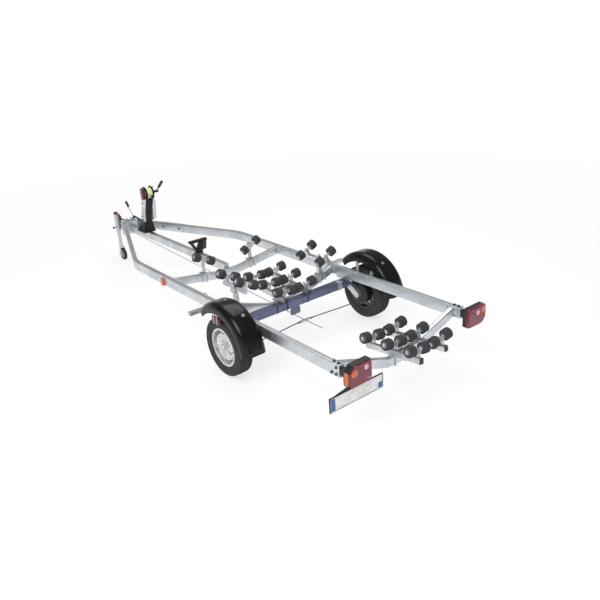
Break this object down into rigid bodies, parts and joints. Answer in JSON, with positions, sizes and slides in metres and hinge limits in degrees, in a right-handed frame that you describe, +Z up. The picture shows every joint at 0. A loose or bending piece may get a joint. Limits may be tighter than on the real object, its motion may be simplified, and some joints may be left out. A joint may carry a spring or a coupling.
{
  "type": "boat trailer",
  "caption": "Galvanised single-axle boat trailer with V-nose frame, tilting roller cradles, winch stand, overrun coupling and jockey wheel.",
  "frame": {"origin": "middle of the overall length and width, on the ground", "axes": "+X forward to the coupling, +Y to the left side, +Z up"},
  "size_m": [5.7398, 1.933, 1.1759],
  "materials": {
    "galvanised_steel": "hot-dip galvanised, dull spangle",
    "tyre_rubber": "matt black rubber",
    "rim_silver": "silver paint",
    "drum_grey": "cast, lightly painted",
    "black_plastic": "black moulded plastic",
    "black_steel": "black paint",
    "roller_rubber": "black rubber",
    "winch_red": "dark red paint",
    "strap_webbing": "woven yellow-green strap",
    "red_plastic": "red moulded plastic",
    "lens_red": "red lens",
    "lens_amber": "amber lens",
    "plate_white": "blank white plate"
  },
  "bodies": {
    "chassis": {"axle_tube": "galvanised_steel", "bellows": "roller_rubber", "brake_cables": "roller_rubber", "brake_linkage": "galvanised_steel", "coupling_handle": "red_plastic", "coupling_head": "galvanised_steel", "cradle_carriers": "galvanised_steel", "crossmember_front": "galvanised_steel", "crossmember_middle": "galvanised_steel", "crossmember_rear": "galvanised_steel", "drawbar": "galvanised_steel", "fender_stays": "galvanised_steel", "fenders": "black_plastic", "handbrake_lever": "galvanised_steel", "jockey_cap": "red_plastic", "jockey_sleeve": "galvanised_steel", "keel_rest": "black_steel", "lamp_housings": "black_plastic", "lamp_lenses": "lens_red", "number_plate": "plate_white", "overrun_housing": "galvanised_steel", "plate_holder": "black_plastic", "roller_posts": "galvanised_steel", "side_markers": "lens_amber", "side_rail_left": "galvanised_steel", "side_rail_right": "galvanised_steel", "trailing_arms": "galvanised_steel", "winch_cover": "winch_red", "winch_plates": "galvanised_steel", "winch_stand": "black_steel"},
    "wheel_left": {"tyre_left": "tyre_rubber", "rim_left": "rim_silver", "brake_drum_left": "drum_grey"},
    "wheel_right": {"tyre_right": "tyre_rubber", "rim_right": "rim_silver", "brake_drum_right": "drum_grey"},
    "rear_cradle": {"rear_cradle_frame": "galvanised_steel", "rear_cradle_rollers": "roller_rubber"},
    "middle_cradle": {"middle_cradle_frame": "galvanised_steel", "middle_cradle_rollers": "roller_rubber"},
    "outer_cradle_left": {"outer_cradle_frame_left": "galvanised_steel", "outer_cradle_rollers_left": "roller_rubber"},
    "outer_cradle_right": {"outer_cradle_frame_right": "galvanised_steel", "outer_cradle_rollers_right": "roller_rubber"},
    "front_rocker_left": {"front_rocker_frame_left": "galvanised_steel", "front_rocker_rollers_left": "roller_rubber"},
    "front_rocker_right": {"front_rocker_frame_right": "galvanised_steel", "front_rocker_rollers_right": "roller_rubber"},
    "winch_rotor": {"winch_drum": "galvanised_steel", "winch_grip": "black_plastic", "winch_strap": "strap_webbing"},
    "jockey_inner": {"jockey_leg": "galvanised_steel"},
    "jockey_castor": {"jockey_fork": "galvanised_steel"},
    "jockey_roller": {"jockey_wheel": "tyre_rubber"}
  },
  "joints": [
    {"name": "wheel_left_spin", "type": "hinge", "parent": "chassis", "child": "wheel_left", "pos_m": [-1.26078, 0.848, 0.273], "axis": [0, 1, 0], "continuous": true},
    {"name": "wheel_right_spin", "type": "hinge", "parent": "chassis", "child": "wheel_right", "pos_m": [-1.26078, -0.848, 0.273], "axis": [0, 1, 0], "continuous": true},
    {"name": "rear_cradle_tilt", "type": "hinge", "parent": "chassis", "child": "rear_cradle", "pos_m": [-2.58578, 0, 0.408], "axis": [0, 1, 0], "range_deg": [-16, 6]},
    {"name": "middle_cradle_tilt", "type": "hinge", "parent": "chassis", "child": "middle_cradle", "pos_m": [-0.92078, 0, 0.462], "axis": [0, 1, 0], "range_deg": [-4, 16]},
    {"name": "outer_cradle_left_tilt", "type": "hinge", "parent": "chassis", "child": "outer_cradle_left", "pos_m": [-0.92078, 0.512, 0.632], "axis": [0, 0.9063, 0.4226], "range_deg": [-12, 12]},
    {"name": "outer_cradle_right_tilt", "type": "hinge", "parent": "chassis", "child": "outer_cradle_right", "pos_m": [-0.92078, -0.512, 0.632], "axis": [0, 0.9063, -0.4226], "range_deg": [-12, 12]},
    {"name": "front_rocker_left_tilt", "type": "hinge", "parent": "chassis", "child": "front_rocker_left", "pos_m": [0.01922, 0.3, 0.636], "axis": [1, 0, 0], "range_deg": [-25, 6]},
    {"name": "front_rocker_right_tilt", "type": "hinge", "parent": "chassis", "child": "front_rocker_right", "pos_m": [0.01922, -0.3, 0.636], "axis": [-1, 0, 0], "range_deg": [-25, 6]},
    {"name": "winch_spin", "type": "hinge", "parent": "chassis", "child": "winch_rotor", "pos_m": [1.72922, 0, 1.017], "axis": [0, 1, 0], "continuous": true},
    {"name": "jockey_slide", "type": "slide", "parent": "chassis", "child": "jockey_inner", "axis": [0, 0, 1], "range_m": [-0.04, 0.14]},
    {"name": "jockey_swivel", "type": "hinge", "parent": "jockey_inner", "child": "jockey_castor", "pos_m": [2.50922, 0.15, 0.194], "axis": [0, 0, 1], "continuous": true},
    {"name": "jockey_wheel_spin", "type": "hinge", "parent": "jockey_castor", "child": "jockey_roller", "pos_m": [2.48422, 0.15, 0.085], "axis": [0, 1, 0], "continuous": true}
  ]
}
